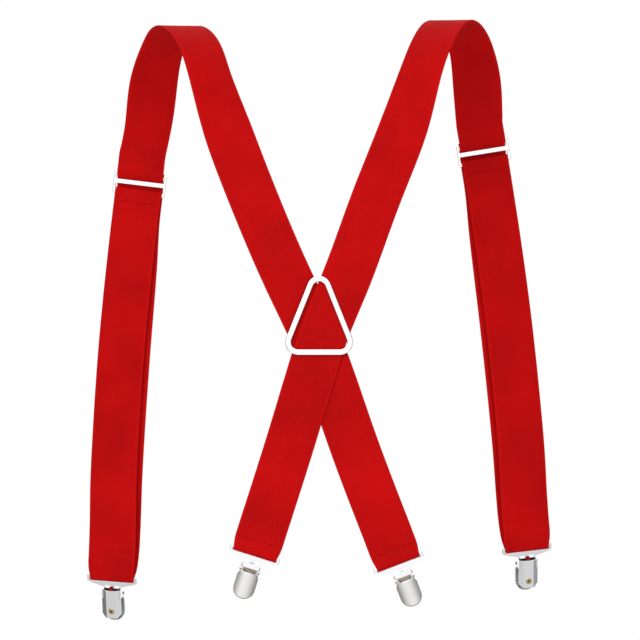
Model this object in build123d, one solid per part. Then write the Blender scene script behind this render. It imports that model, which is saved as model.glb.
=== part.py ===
from build123d import *
import os
from math import atan2, cos, degrees, hypot, pi, radians, sin, tan

# Clip-on X-back suspenders, in millimetres.
#
# The suspenders hang from the shoulders and are described from behind: +X is to the right, +Y runs
# from the back of the wearer to the front, +Z is up. The origin lies midway between the two shoulder
# loops, level with the underside of their tops. Each strap is one length of elastic webbing. It starts
# at a sewn fold on a back clip, crosses the other strap inside the triangular keeper, goes over the
# shoulder, through the three-bar adjuster, round the bar of the front clip and back up to the adjuster,
# where its end is folded round the lowest bar and sewn.


# ---- webbing ---------------------------------------------------------------------------------
strap_width = 35.0
strap_thickness = 1.3
layer_gap = 0.25           # free space between two layers, or a layer and a metal face
arch_depth = 55.0          # half the distance from the back layer to the front layer
arch_height = 72.0         # from the top of a shoulder loop to where the strap hangs straight
crossing_gap = 0.3         # between the two straps where they cross
crossing_offset = (strap_thickness + crossing_gap) / 2
front_yaw = 15.0           # degrees that the front straps turn towards each other
crest_yaw = -30.0          # turn of each strap where it goes over the shoulder, square to its path
front_twist_height = 80.0  # below the crest, where the turn has become the front strap's
back_twist_start = 25.0    # below the crest, where the back strap starts to turn flat
back_twist_end = 110.0     # below the crest, where it is flat
loop_bulge = 4.6           # sideways bow of the long front loop
outer_layer_bow = 0.25     # share of that bow in its outer layer
sewn_length = 14.0         # webbing folded back and sewn at each end
fold_narrowing = 2.6       # the webbing is squeezed by this much where it enters a clip

# Centreline of each strap as seen from behind, (x, z) from the origin.
# loop: x at equal steps of 30 degrees round the shoulder loop, from front to back.
strap_routes = {
    "left": {
        "loop_top": -2.0,
        "loop": (-123.3, -118.4, -110.2, -100.4, -87.4, -77.4, -65.9),
        "back": ((-46.8, -124.6), (-19.7, -187.6), (-3.6, -222.0), (3.0, -238.3), (23.8, -297.4)),
        "back_end": (57.1, -385.6),
        "adjuster": (-129.2, -114.2),
        "front_end": (-149.4, -400.0),
        "outward": -1,
        "layer": +1,
    },
    "right": {
        "loop_top": 2.0,
        "loop": (117.0, 114.2, 107.2, 96.2, 85.3, 74.2, 63.1),
        "back": ((42.1, -124.6), (18.7, -187.6), (4.6, -222.0), (-0.8, -238.3), (-18.7, -297.4)),
        "back_end": (-44.8, -379.6),
        "adjuster": (119.8, -91.3),
        "front_end": (151.4, -378.0),
        "outward": +1,
        "layer": -1,
    },
}

# ---- triangular keeper at the crossing ---------------------------------------------------------
keeper_centre_x = 0.8
keeper_base_z = -238.5
crossing_half_angle = 22.2  # degrees between each strap and upright where they cross
keeper_side_room = 19.7     # added to the crossing's width for the base
keeper_end_room = 25.5      # added to the crossing's height for the apex
keeper_base = strap_width / cos(radians(crossing_half_angle)) + keeper_side_room
keeper_height = strap_width / 2 / sin(radians(crossing_half_angle)) + keeper_end_room
keeper_band = 4.2
keeper_apex_radius = 8.9
keeper_corner_radius = 9.5
keeper_front_thickness = 1.8
keeper_back_thickness = 1.0
keeper_edge_round = 0.7
keeper_post_radius = 0.7
keeper_head_radius = 1.5
keeper_head_height = 0.5

# ---- three-bar adjuster ------------------------------------------------------------------------
adjuster_thickness = 1.2
adjuster_pitch = 7.2        # centre to centre of neighbouring bars
adjuster_outer_bar = 3.0
adjuster_middle_bar = 3.4
adjuster_rail = 1.9
adjuster_side_clearance = 0.4
adjuster_corner = 1.6
adjuster_edge_round = 0.45
weave_gap = 0.55            # between a bar's face and the webbing that passes it
weave_offset = adjuster_thickness / 2 + weave_gap + strap_thickness / 2

# ---- clip ------------------------------------------------------------------------------------
sheet = 0.9                 # strap plate
bar_height = 2.4            # bar that the webbing folds round
bar_round = 0.4
bar_running_gap = 0.2       # between the bar's corner and the inside of the fold
slot_side_clearance = 0.3
slot_half_width = (strap_width - fold_narrowing) / 2 + slot_side_clearance
plate_arm = 2.0             # width of the plate beside the slot
plate_half_width = slot_half_width + plate_arm
neck_shoulder_drop = 4.5    # from the slot's lower edge to the neck
jaw_half_width = 6.9
jaw_end = 30.0              # from the bar's axis to the jaws' lower edge
window_half_width = 5.4
window_top = 6.2
window_height = 2.0
hook_drop = 7.2             # bar axis to the jaw hinge
cam_window_half_width = 4.6 # relief in the strap plate between the lever's two cams
cam_window_height = 1.5
pin_drop = 13.0             # bar axis to the lever pin
pin_rise = 3.4              # lever pin from the strap plate's middle plane
pin_radius = 0.8
pin_head_radius = 1.15
pin_head_height = 0.4
running_clearance = 0.05
ear_thickness = 0.75
jaw_flare = 0.3             # the rear jaw's rim stands this much outside the front jaw
ear_inner = jaw_half_width + jaw_flare - 0.1 - ear_thickness
neck_half_width = ear_inner - 0.1
ear_radius = 1.7
ear_root = 0.9              # how deep an ear is bedded in the jaw's sides
jaw_sheet = 0.8
jaw_panel_half_width = 3.6  # flat middle panel of the rear jaw
jaw_depth = 5.0             # rear face of the panel from the plate's middle plane
jaw_side_depth = 3.0
jaw_top = 8.8
jaw_corner = 3.0
tongue_half_width = 1.6
tongue_reach = 1.5
pad_top = 19.5
pad_grip_gap = 0.2          # between the closed pads' ridges
pad_half_width = jaw_half_width - 0.5
pad_thickness = 1.0
ridge_height = 0.35
ridge_count = 5
pad_clearance = 0.12
eyelet_drop = 24.6
eyelet_flange_radius = 2.2
eyelet_flange_height = 0.4
eyelet_tube_radius = 1.3
eyelet_hole_radius = 0.85
rivet_head_radius = 1.8
rivet_head_height = 0.45
rivet_shank_radius = 1.0
lever_top = 14.8
lever_shoulder = 17.6
lever_neck_half_width = ear_inner - 0.3
lever_half_width = jaw_half_width + 0.95
lever_end = 34.0
lever_rim = 1.6             # rim from the strap plate's middle plane
lever_crown = 6.3           # highest point of the crown
lever_crown_radius = 14.0
lever_sheet = 0.8
lever_edge_round = 0.9
lever_ear_thickness = 0.75
lever_ear_clearance = 0.4   # between a lever ear and the rear jaw's ear
lobe_offset = 2.2
lobe_radius = 0.6
front_clip_pitch = -22.0    # degrees each clip is turned about its bar, in the grip of the fold
back_clip_pitch = 2.0

parts = {}


def add(name, shape):
    """Keeps a finished sub-part under its node name."""
    parts[name] = shape


def unit(x, y, z):
    return Vector(x, y, z).normalized()


# ---- webbing: one list of stations for each strap ------------------------------------------------
class Station:
    """A cross-section of the webbing: where it is, which way its width runs, and how wide it is."""

    def __init__(self, centre, across, width, node):
        self.centre = centre
        self.across = across
        self.width = width
        self.node = node


fold_inner_radius = hypot(bar_height / 2 - bar_round, sheet / 2 - bar_round) + bar_round + bar_running_gap
fold_radius = fold_inner_radius + strap_thickness / 2
fold_outer_radius = fold_inner_radius + strap_thickness
fold_width = strap_width - fold_narrowing
sewn_offset = (strap_thickness + layer_gap) / 2
adjuster_fold_radius = adjuster_thickness / 2 + 0.15 + strap_thickness / 2
outer_layer_offset = adjuster_fold_radius + strap_thickness + layer_gap


def front_frame(route):
    """Frame of the front strap: origin on the clip's bar, +Y up the strap, +Z away from the wearer."""
    x_end, z_end = route["front_end"]
    x_top, z_top = route["adjuster"]
    up = unit(x_top - x_end, 0, z_top - z_end)
    yaw = radians(front_yaw)
    outward = Vector(-route["outward"] * sin(yaw), cos(yaw), 0)
    outward = (outward - up * outward.dot(up)).normalized()
    return Plane(origin=(x_end, arch_depth, z_end), x_dir=up.cross(outward), z_dir=outward)


def front_length(route):
    """Distance from the adjuster's middle bar to the clip's bar."""
    x_end, z_end = route["front_end"]
    x_top, z_top = route["adjuster"]
    return hypot(x_top - x_end, z_top - z_end)


def adjuster_frame(route):
    """Frame of the adjuster, turned to lie along the bowed strap where it sits."""
    length = front_length(route)
    turn = degrees(atan2(loop_bulge * pi, length)) * -route["outward"]
    front = front_frame(route)
    middle = Plane(origin=front.from_local_coords((0, length, 0)), x_dir=front.x_dir, z_dir=front.z_dir)
    return Plane(middle.location * Rot(0, 0, turn))


def back_frame(route):
    """Frame of the back clip's bar: +Y up the strap, +Z away from the wearer."""
    x_end, z_end = route["back_end"]
    x_near, z_near = route["back"][-1]
    up = unit(x_near - x_end, 0, z_near - z_end)
    outward = Vector(0, -1, 0)
    y_plane = -arch_depth + route["layer"] * crossing_offset
    return Plane(origin=(x_end, y_plane + sewn_offset, z_end), x_dir=up.cross(outward), z_dir=outward)


def eased(share):
    """0 to 1, starting and ending gently."""
    share = min(1.0, max(0.0, share))
    return share * share * (3 - 2 * share)


def fold_width_at(height):
    """Width of the webbing at a height above the clip's bar: narrow in the slot, full above it."""
    share = min(1.0, max(0.0, (height - 1.0) / 8.0))
    return fold_width + fold_narrowing * (1 - (1 - share) ** 2)


def local_stations(frame, points, node, width_rule=None, bow=None):
    """Stations from (height, offset) points in a local frame."""
    made = []
    for height, offset in points:
        width = width_rule(height) if width_rule else strap_width
        side = bow(height) if bow else 0.0
        made.append(Station(frame.from_local_coords((side, height, offset)), frame.x_dir, width, node))
    return made


def half_turn(radius, start, stop, steps, rise=0.0):
    """(height, offset) points of an arc about the bar, by angle in degrees from +offset."""
    angles = [start + (stop - start) * i / steps for i in range(steps + 1)]
    return [(rise + radius * sin(radians(a)), radius * cos(radians(a))) for a in angles]


def strap_stations(side):
    """The whole strap as stations, from the sewn end at the back clip to the sewn end at the adjuster."""
    route = strap_routes[side]
    back, front, adjuster = back_frame(route), front_frame(route), adjuster_frame(route)
    length = front_length(route)
    end_node, back_node = f"{side}_back_end_fold", f"{side}_back_strap"
    loop_node, front_node = f"{side}_shoulder_strap", f"{side}_front_strap"
    outer_node, clip_node = f"{side}_loop_outer", f"{side}_clip_fold"
    inner_node, sewn_node = f"{side}_loop_inner", f"{side}_adjuster_end_fold"

    # Sewn end: up the inner side of the bar, round it, and down again on the outer side.
    fold = [(sewn_length + 2, -sewn_offset), (9, -sewn_offset - 0.1), (6, -sewn_offset - 0.4)]
    fold += [(3.5, -fold_radius + 0.25)]
    fold += half_turn(fold_radius, 180, 360, 6)
    fold += [(3.5, fold_radius - 0.25), (6, sewn_offset + 0.4), (9, sewn_offset + 0.1)]
    fold += [(sewn_length + 2, sewn_offset)]
    stations = local_stations(back, fold, end_node, fold_width_at)
    stations += local_stations(back, [(sewn_length + 10, sewn_offset)], back_node)

    # Up the back, over the shoulder and down to the adjuster on one smooth curve.
    y_back = -arch_depth + route["layer"] * crossing_offset
    centre_z = route["loop_top"] - arch_height
    points = [stations[-1].centre]
    points += [Vector(x, y_back, z) for x, z in reversed(route["back"])]
    for step, x in enumerate(reversed(route["loop"])):
        turn = radians(90 - 30 * step)
        depth = -y_back if turn > 0 else arch_depth
        points.append(Vector(x, -depth * sin(turn), centre_z + arch_height * cos(turn)))
    approach = adjuster.from_local_coords((0, adjuster_pitch + 14, -weave_offset))
    if (points[-1] - approach).length < 12:
        points.pop()
    curve = Spline(*points, approach)
    steps = 44
    for i in range(1, steps):
        at = curve.position_at(i / steps)
        hangs = at.Y > 0
        if not hangs and at.Z < centre_z:
            at = Vector(at.X, y_back, at.Z)
        below = route["loop_top"] - at.Z
        if hangs:
            yaw = radians(crest_yaw + (front_yaw - crest_yaw) * eased(below / front_twist_height))
        else:
            flat = eased((below - back_twist_start) / (back_twist_end - back_twist_start))
            yaw = radians(crest_yaw * (1 - flat))
        across = Vector(cos(yaw), route["outward"] * sin(yaw), 0) * -1
        if at.Z < centre_z:
            node = front_node if hangs else back_node
        else:
            node = loop_node
        stations.append(Station(at, across, strap_width, node))
    # A back clip's frame and the curve must agree on which way the width runs.
    for station in stations:
        if station.across.X > 0:
            station.across = station.across * -1

    # Behind the upper bar, over the middle bar and down the outer side of the sewn fold.
    half = adjuster_pitch / 2
    weave = [(adjuster_pitch + 14, -weave_offset), (adjuster_pitch + 5, -weave_offset)]
    weave += [(adjuster_pitch, -weave_offset), (adjuster_pitch - 1.5, -weave_offset * 0.8), (half, 0)]
    weave += [(1.5, weave_offset * 0.8), (0, weave_offset)]
    stations += local_stations(adjuster, weave, front_node)
    bottom = -adjuster_pitch - sewn_length - 1
    beside = [(-3.0, outer_layer_offset - 0.4), (-adjuster_pitch, outer_layer_offset), (bottom, outer_layer_offset)]
    stations += local_stations(adjuster, beside, outer_node)

    def bow(height):
        share = min(1.0, max(0.0, (height - 12) / 50))
        sideways = loop_bulge * sin(pi * height / length) * share * share * (3 - 2 * share)
        return sideways * route["outward"] * (1 if front.x_dir.X > 0 else -1)

    # Down the outer side of the long loop, round the clip's bar and up the inner side.
    outer = [(length - 60, 2.5), (160, 2.1), (110, 2.3), (70, 3.6), (36, 6.0), (20, 6.2)]
    stations += local_stations(front, outer, outer_node, bow=lambda height: outer_layer_bow * bow(height))
    turn = [(10, 4.6), (6, 3.4), (3, 2.6)] + half_turn(fold_radius, 0, -180, 6)
    turn += [(3, -2.5), (6, -3.1), (10, -3.9), (20, -4.6)]
    stations += local_stations(front, turn, clip_node, fold_width_at, bow)
    inner = [(36, -4.2), (70, -2.7), (110, -1.9), (160, -1.7), (length - 60, -1.6)]
    stations += local_stations(front, inner, inner_node, bow=bow)

    # Up to the adjuster, over the lowest bar and down between the layers to the raw end.
    turn_centre = -adjuster_pitch + adjuster_outer_bar / 2 - adjuster_thickness / 2
    up = [(bottom, -adjuster_fold_radius)]
    stations += local_stations(adjuster, up, inner_node)
    over = [(-adjuster_pitch - 2, -adjuster_fold_radius)]
    over += half_turn(adjuster_fold_radius, 180, 0, 6, turn_centre)
    over += [(-adjuster_pitch - 2, adjuster_fold_radius), (-adjuster_pitch - sewn_length, adjuster_fold_radius)]
    stations += local_stations(adjuster, over, sewn_node)
    return stations


def webbing_solids(stations):
    """Lofts the stations into one solid for each node. Neighbouring nodes share a cross-section."""
    sections = []
    for i, station in enumerate(stations):
        before = stations[max(i - 1, 0)].centre
        after = stations[min(i + 1, len(stations) - 1)].centre
        along = Vector(0, 0, 0)
        if i > 0:
            along += (station.centre - before).normalized()
        if i < len(stations) - 1:
            along += (after - station.centre).normalized()
        along = along.normalized()
        normal = along.cross(station.across).normalized()
        width = normal.cross(along) * (station.width / 2)
        thick = normal * (strap_thickness / 2)
        c = station.centre
        corners = [c + width + thick, c - width + thick, c - width - thick, c + width - thick]
        sections.append(Wire.make_polygon(corners, close=True))
    solids = {}
    start = 0
    for i in range(1, len(stations) + 1):
        if i == len(stations) or stations[i].node != stations[start].node:
            last = min(i - 1, len(stations) - 1)
            first = start if start == 0 else start - 1
            solids[stations[start].node] = Solid.make_loft(sections[first:last + 1], ruled=True)
            start = i
    return solids


# ---- triangular keeper -------------------------------------------------------------------------
def keeper_outline(inset):
    """The keeper's triangle, inset from the outer outline, with rounded corners, on the XZ plane."""
    slope = atan2(keeper_base / 2, keeper_height)
    side_shift = inset / cos(slope)
    half_base = keeper_base / 2 - side_shift - inset * tan(slope)
    apex = keeper_height - side_shift / tan(slope)
    triangle = make_face(Polyline((-half_base, inset), (half_base, inset), (0, apex), close=True))
    top = triangle.vertices().sort_by(Axis.Y)[-1]
    base = triangle.vertices().sort_by(Axis.Y)[:2]
    outline = fillet(base, keeper_corner_radius - inset)
    top = outline.vertices().sort_by(Axis.Y)[-1]
    return fillet([top], keeper_apex_radius - inset)


def keeper_frame(y):
    """Plane seen from behind, with its origin at the middle of the keeper's base."""
    return Plane(origin=(keeper_centre_x, y, keeper_base_z), x_dir=(1, 0, 0), z_dir=(0, -1, 0))


def keeper_post_places():
    """Centres of the three corner posts: in the notches between the crossing straps."""
    half_angle = atan2(keeper_base / 2, keeper_height)
    corner = (pi / 2 - half_angle) / 2
    across = keeper_base / 2 - keeper_corner_radius / tan(corner)
    reach = keeper_corner_radius - keeper_band / 2 + 0.5
    side = across + reach * cos(radians(42))
    low = keeper_corner_radius - reach * sin(radians(42))
    apex = keeper_height - keeper_apex_radius * (1 / sin(half_angle) - 1) - keeper_band / 2
    return [(-side, low), (side, low), (-keeper_centre_x, apex)]


def make_keeper():
    band = keeper_outline(0) - keeper_outline(keeper_band)
    face_gap = crossing_offset + strap_thickness / 2 + layer_gap
    front_face = -arch_depth - face_gap
    front = extrude(band, keeper_front_thickness)
    front = fillet(front.edges().group_by(Axis.Z)[-1], keeper_edge_round)
    back = extrude(band, keeper_back_thickness)
    post_length = keeper_front_thickness / 2 + 2 * face_gap + keeper_back_thickness
    holes = [Pos(x, y) * Cylinder(keeper_post_radius, 4 * post_length) for x, y in keeper_post_places()]
    blind = [
        Pos(x, y, 0) * Cylinder(keeper_post_radius, keeper_front_thickness / 2, align=(Align.CENTER, Align.CENTER, Align.MIN))
        for x, y in keeper_post_places()
    ]
    front = front - blind
    back = back - holes
    add("keeper_front", keeper_frame(front_face).location * front)
    add("keeper_back", keeper_frame(-arch_depth + face_gap + keeper_back_thickness).location * back)
    posts = []
    for x, y in keeper_post_places():
        shank = Cylinder(keeper_post_radius, post_length, align=(Align.CENTER, Align.CENTER, Align.MIN))
        head = Cylinder(keeper_head_radius, keeper_head_height, align=(Align.CENTER, Align.CENTER, Align.MAX))
        head = fillet(head.edges().group_by(Axis.Z)[0], keeper_head_height * 0.7)
        posts.append(Pos(x, y) * (shank + head))
    frame = keeper_frame(-arch_depth + face_gap + keeper_back_thickness)
    add("keeper_posts", Compound(children=[frame.location * post for post in posts]))


# ---- adjuster ----------------------------------------------------------------------------------
def make_adjuster(side):
    route = strap_routes[side]
    slot_width = strap_width + 2 * adjuster_side_clearance
    outer_width = slot_width + 2 * adjuster_rail
    outer_height = 2 * adjuster_pitch + adjuster_outer_bar
    slot_height = adjuster_pitch - adjuster_outer_bar / 2 - adjuster_middle_bar / 2
    slot_centre = adjuster_middle_bar / 2 + slot_height / 2
    outline = RectangleRounded(outer_width, outer_height, adjuster_corner)
    slot = RectangleRounded(slot_width, slot_height, adjuster_edge_round)
    face = outline - Pos(0, slot_centre) * slot - Pos(0, -slot_centre) * slot
    frame = extrude(face, adjuster_thickness / 2, both=True)
    rims = frame.edges().filter_by_position(Axis.Z, adjuster_thickness / 2 - 0.01, adjuster_thickness / 2 + 0.01)
    rims += frame.edges().filter_by_position(Axis.Z, -adjuster_thickness / 2 - 0.01, -adjuster_thickness / 2 + 0.01)
    frame = fillet(rims, adjuster_edge_round)
    add(f"{side}_adjuster_frame", adjuster_frame(route).location * frame)


# ---- clip, in its own frame: bar on the origin, +Y up the strap, +Z towards the lever ---------------
def mirrored_outline(points):
    """Closed outline from its right half, listed from top to bottom."""
    left = [(-x, y) for x, y in reversed(points)]
    return make_face(Polyline(*points, *left, close=True))


def make_strap_plate():
    """Stamped plate: bar and slot for the webbing, neck with the hook window, and the front jaw."""
    slot_low = -fold_outer_radius - 0.15
    neck_y = slot_low - neck_shoulder_drop
    outline = mirrored_outline([
        (plate_half_width, bar_height / 2),
        (plate_half_width, slot_low - 0.4),
        (plate_half_width - 1.4, slot_low - 1.4),
        (neck_half_width, neck_y),
        (neck_half_width, -pin_drop - ear_radius - 0.6),
        (jaw_half_width, -pin_drop - ear_radius - 1.4),
        (jaw_half_width, -jaw_end + jaw_corner),
        (jaw_half_width - jaw_corner, -jaw_end),
    ])
    corners = outline.vertices().group_by(Axis.Y)[-1]
    outline = fillet(corners, 1.0)
    slot_height = -bar_height / 2 - slot_low
    slot = Pos(0, (slot_low - bar_height / 2) / 2) * RectangleRounded(2 * slot_half_width, slot_height, 0.5)
    window = Pos(0, -window_top - window_height / 2) * RectangleRounded(2 * window_half_width, window_height, 0.4)
    cam_window = Pos(0, -pin_drop - pin_radius - cam_window_height / 2) * RectangleRounded(
        2 * cam_window_half_width, cam_window_height, 0.4)
    plate = extrude(outline - slot - window - cam_window, sheet / 2, both=True)
    near_bar = [
        e for e in plate.edges().filter_by(GeomType.LINE).filter_by(Axis.X)
        if abs(abs(e.center().Y) - bar_height / 2) < 0.01
    ]
    plate = fillet(near_bar, bar_round)
    shank = Pos(0, -eyelet_drop) * Cylinder(rivet_shank_radius, 4 * sheet)
    return plate - shank


def ridges(half_width, base_z, direction):
    """Gripping ridges across a pad, standing off base_z in the given direction."""
    span = jaw_end - 0.8 - pad_top - 0.8
    pitch = span / ridge_count
    made = []
    for i in range(ridge_count):
        y = -pad_top - 0.8 - pitch * (i + 0.5)
        tooth = make_face(Polyline(
            (y - pitch * 0.35, base_z - direction * 0.1),
            (y - pitch * 0.35, base_z),
            (y, base_z + direction * ridge_height),
            (y + pitch * 0.35, base_z),
            (y + pitch * 0.35, base_z - direction * 0.1),
            close=True,
        ))
        across = Plane(origin=(-half_width, 0, 0), x_dir=(0, 1, 0), z_dir=(1, 0, 0))
        made.append(across.location * extrude(tooth, 2 * half_width))
    return made


grip_plane = -sheet / 2 - pad_thickness - ridge_height - pad_grip_gap / 2   # middle of the closed mouth


def make_front_pad():
    """Plastic pad riveted to the rear face of the front jaw."""
    height = jaw_end - 0.8 - pad_top
    pad = Pos(0, -pad_top - height / 2, -sheet / 2 - pad_thickness / 2) * Box(2 * pad_half_width, height, pad_thickness)
    pad = chamfer(pad.edges().filter_by(Axis.Z).group_by(Axis.Y)[0], jaw_corner * 0.7)
    for ridge in ridges(pad_half_width - jaw_corner * 0.7, -sheet / 2 - pad_thickness, -1):
        pad += ridge
    bore = Pos(0, -eyelet_drop, -sheet / 2) * Cylinder(rivet_shank_radius, 2 * pad_thickness * 0.8)
    return pad - bore


def make_pad_rivet():
    """Flat rivet that holds the front pad to the strap plate."""
    low = -sheet / 2 - pad_thickness * 0.8
    shank = Pos(0, -eyelet_drop, low) * Cylinder(
        rivet_shank_radius, sheet / 2 - low, align=(Align.CENTER, Align.CENTER, Align.MIN))
    head = Pos(0, -eyelet_drop, sheet / 2) * Cylinder(
        rivet_head_radius, rivet_head_height, align=(Align.CENTER, Align.CENTER, Align.MIN))
    head = fillet(head.edges().group_by(Axis.Z)[-1], rivet_head_height * 0.6)
    return shank + head


def jaw_section(grow):
    """Outer or inner outline of the rear jaw's tray, across the jaw, as (x, z) points from the right."""
    rim = -jaw_side_depth
    return [
        (jaw_half_width + jaw_flare - grow, rim),
        (jaw_panel_half_width - grow * 0.35, -jaw_depth + grow),
        (-jaw_panel_half_width + grow * 0.35, -jaw_depth + grow),
        (-jaw_half_width - jaw_flare + grow, rim),
    ]


def make_rear_jaw():
    """Pressed tray with a flat middle panel, two ears for the lever pin and a hook tongue."""
    def tray(grow, length, shift=0.0):
        points = [(x, z) for x, z in jaw_section(grow)]
        face = make_face(Polyline(*points, close=True))
        body = extrude(face, length)
        return Pos(0, -jaw_top + shift, 0) * (Rot(90, 0, 0) * body)

    shell = tray(0, jaw_end - jaw_top)
    hollow = tray(jaw_sheet, jaw_end - jaw_top + 2, 1)
    lip = Pos(0, -(jaw_top + jaw_end) / 2, -jaw_side_depth + 1) * Box(3 * jaw_half_width, 2 * jaw_end, 2)
    shell = shell - hollow - lip
    keep = make_face(Polyline(
        (-20, 0), (20, 0), (20, -jaw_end + jaw_corner), (jaw_half_width + jaw_flare, -jaw_end + jaw_corner),
        (jaw_half_width + jaw_flare - jaw_corner, -jaw_end), (-jaw_half_width - jaw_flare + jaw_corner, -jaw_end),
        (-jaw_half_width - jaw_flare, -jaw_end + jaw_corner), (-20, -jaw_end + jaw_corner), close=True))
    shell = shell & extrude(keep, 30, both=True)

    side = Plane(origin=(0, 0, 0), x_dir=(0, 1, 0), z_dir=(1, 0, 0))
    low = -jaw_side_depth - ear_root
    ear_face = make_face(Polyline(
        (-jaw_top, low), (-jaw_top, -sheet), (-pin_drop + ear_radius, pin_rise), (-pin_drop - ear_radius, pin_rise),
        (-pin_drop - ear_radius - 0.4, low), close=True)) + Pos(-pin_drop, pin_rise) * Circle(ear_radius)
    ear_face -= Pos(-pin_drop, pin_rise) * Circle(pin_radius)
    ear = side.location * extrude(ear_face, ear_thickness)
    jaw = shell + Pos(ear_inner, 0, 0) * ear + Pos(-ear_inner - ear_thickness, 0, 0) * ear

    tongue_face = make_face(Polyline(
        (-jaw_top - 1.2, -jaw_depth + jaw_sheet * 0.5), (-jaw_top - 1.2, -jaw_depth),
        (-jaw_top + 0.2, -jaw_depth), (-hook_drop + 0.4, -0.9),
        (-hook_drop + 0.4, tongue_reach - 0.7), (-hook_drop + 1.5, tongue_reach - 0.7),
        (-hook_drop + 1.5, tongue_reach), (-hook_drop - 0.4, tongue_reach), (-hook_drop - 0.4, -0.7),
        (-jaw_top - 0.5, -jaw_depth + jaw_sheet), close=True))
    tongue = Pos(-tongue_half_width, 0, 0) * (side.location * extrude(tongue_face, 2 * tongue_half_width))
    jaw = jaw + tongue
    bore = Pos(0, -eyelet_drop, -jaw_depth) * Cylinder(eyelet_tube_radius, 4 * jaw_sheet)
    return jaw - bore


def make_rear_pad():
    """Plastic pad that fills the rear jaw's tray and stands proud of its rim."""
    face_z = grip_plane - pad_grip_gap / 2 - ridge_height
    inner = jaw_section(jaw_sheet + pad_clearance)
    rim_x = inner[0][0]
    points = [(rim_x, face_z), inner[0], inner[1], inner[2], inner[3], (-rim_x, face_z)]
    body = extrude(make_face(Polyline(*points, close=True)), jaw_end - 0.8 - pad_top)
    pad = Pos(0, -pad_top, 0) * (Rot(90, 0, 0) * body)
    pad = pad & extrude(mirrored_outline([
        (20, 0), (20, -jaw_end + jaw_corner), (rim_x, -jaw_end + jaw_corner - 0.3), (rim_x - jaw_corner, -jaw_end)]), 30, both=True)
    for ridge in ridges(rim_x - jaw_corner * 0.7, face_z, +1):
        pad += ridge
    bore = Pos(0, -eyelet_drop, -jaw_depth + jaw_sheet) * Cylinder(
        eyelet_tube_radius, 2 * (jaw_depth - jaw_sheet + face_z) * 0.8)
    return pad - bore


def make_eyelet():
    """Hollow brass eyelet that fixes the rear pad."""
    face_z = grip_plane - pad_grip_gap / 2 - ridge_height
    depth = (jaw_depth - jaw_sheet + face_z) * 0.8
    up = (Align.CENTER, Align.CENTER, Align.MIN)
    flange = Pos(0, -eyelet_drop, -jaw_depth - eyelet_flange_height) * Cylinder(
        eyelet_flange_radius, eyelet_flange_height, align=up)
    flange = fillet(flange.edges().group_by(Axis.Z)[0], eyelet_flange_height * 0.8)
    tube = Pos(0, -eyelet_drop, -jaw_depth) * Cylinder(eyelet_tube_radius, jaw_sheet + depth, align=up)
    hole = Pos(0, -eyelet_drop, -jaw_depth - 1) * Cylinder(eyelet_hole_radius, 10, align=up)
    return flange + tube - hole


def make_pin():
    """Lever pin with a small head pressed on each end."""
    half = ear_inner + ear_thickness
    pin = Rot(0, 90, 0) * Cylinder(pin_radius, 2 * half)
    for sign in (-1, 1):
        head = Pos(sign * (half + pin_head_height / 2), 0, 0) * (Rot(0, 90, 0) * Cylinder(pin_head_radius, pin_head_height))
        pin += head
    ends = pin.edges().filter_by(GeomType.CIRCLE).group_by(Axis.X)
    pin = fillet(ends[0] + ends[-1], pin_head_height * 0.6)
    return Pos(0, -pin_drop, pin_rise) * pin


def lever_outline(inset):
    """Outline of the lever's cover, drawn in by inset."""
    neck, wide = lever_neck_half_width - inset, lever_half_width - inset
    top, shoulder, end = -lever_top - inset, -lever_shoulder, -lever_end + inset
    round_end = wide * 0.98
    face = make_face(Polyline(
        (neck, top), (wide, shoulder), (wide, end + round_end), (wide, end), (-wide, end),
        (-wide, end + round_end), (-wide, shoulder), (-neck, top), close=True))
    low = face.vertices().group_by(Axis.Y)[0]
    face = fillet(low, round_end * 0.97)
    shoulders = [v for v in face.vertices() if abs(v.Y - shoulder) < 0.01 and abs(abs(v.X) - wide) < 0.01]
    return fillet(shoulders, 1.4)


def crown(inset):
    """Cylinder along the lever whose top is the crown."""
    radius = lever_crown_radius - inset
    return Pos(0, -(lever_top + lever_end) / 2, lever_crown - lever_crown_radius) * (Rot(90, 0, 0) * Cylinder(radius, 40))


def make_lever():
    """Crowned cover with two inner ears that turn on the pin and carry the cam lobes."""
    cover = Pos(0, 0, lever_rim) * extrude(lever_outline(0), 8) & crown(0)
    cover = fillet(cover.edges().group_by(Axis.Z)[-1] + [
        e for e in cover.edges() if e.center().Z > lever_rim + 0.5 and e.bounding_box().size.Z < 4.4
        and e.length > 1.0 and abs(e.center().Z - lever_rim) > 0.6 and not e.is_closed
        and e.bounding_box().min.Z > lever_rim + 0.3], lever_edge_round)
    hollow = Pos(0, 0, lever_rim - 1) * extrude(lever_outline(lever_sheet), 9) & crown(lever_sheet)
    cover = cover - hollow

    side = Plane(origin=(0, 0, 0), x_dir=(0, 1, 0), z_dir=(1, 0, 0))
    roof = lever_crown - lever_sheet - 1.2
    arm = make_face(Polyline(
        (-pin_drop + 0.4, pin_rise + 1.35), (-lever_top - 1.0, roof), (-lever_shoulder - 3.0, roof),
        (-lever_shoulder - 3.0, roof - 1.2), (-lever_top - 0.6, lever_rim + 0.4), (-pin_drop - 0.5, pin_rise - 1.3),
        close=True))
    arm += Pos(-pin_drop, pin_rise) * Circle(1.5)
    lobe = make_face(Polyline(
        (-pin_drop - lobe_radius, pin_rise), (-pin_drop + lobe_radius, pin_rise),
        (-pin_drop + lobe_radius, pin_rise - lobe_offset), (-pin_drop - lobe_radius, pin_rise - lobe_offset), close=True))
    arm += lobe
    arm += Pos(-pin_drop, pin_rise - lobe_offset) * Circle(lobe_radius)
    arm -= Pos(-pin_drop, pin_rise) * Circle(pin_radius + running_clearance)
    outer = ear_inner - lever_ear_clearance
    ear = side.location * extrude(arm, lever_ear_thickness)
    return cover + Pos(outer - lever_ear_thickness, 0, 0) * ear + Pos(-outer, 0, 0) * ear


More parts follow.
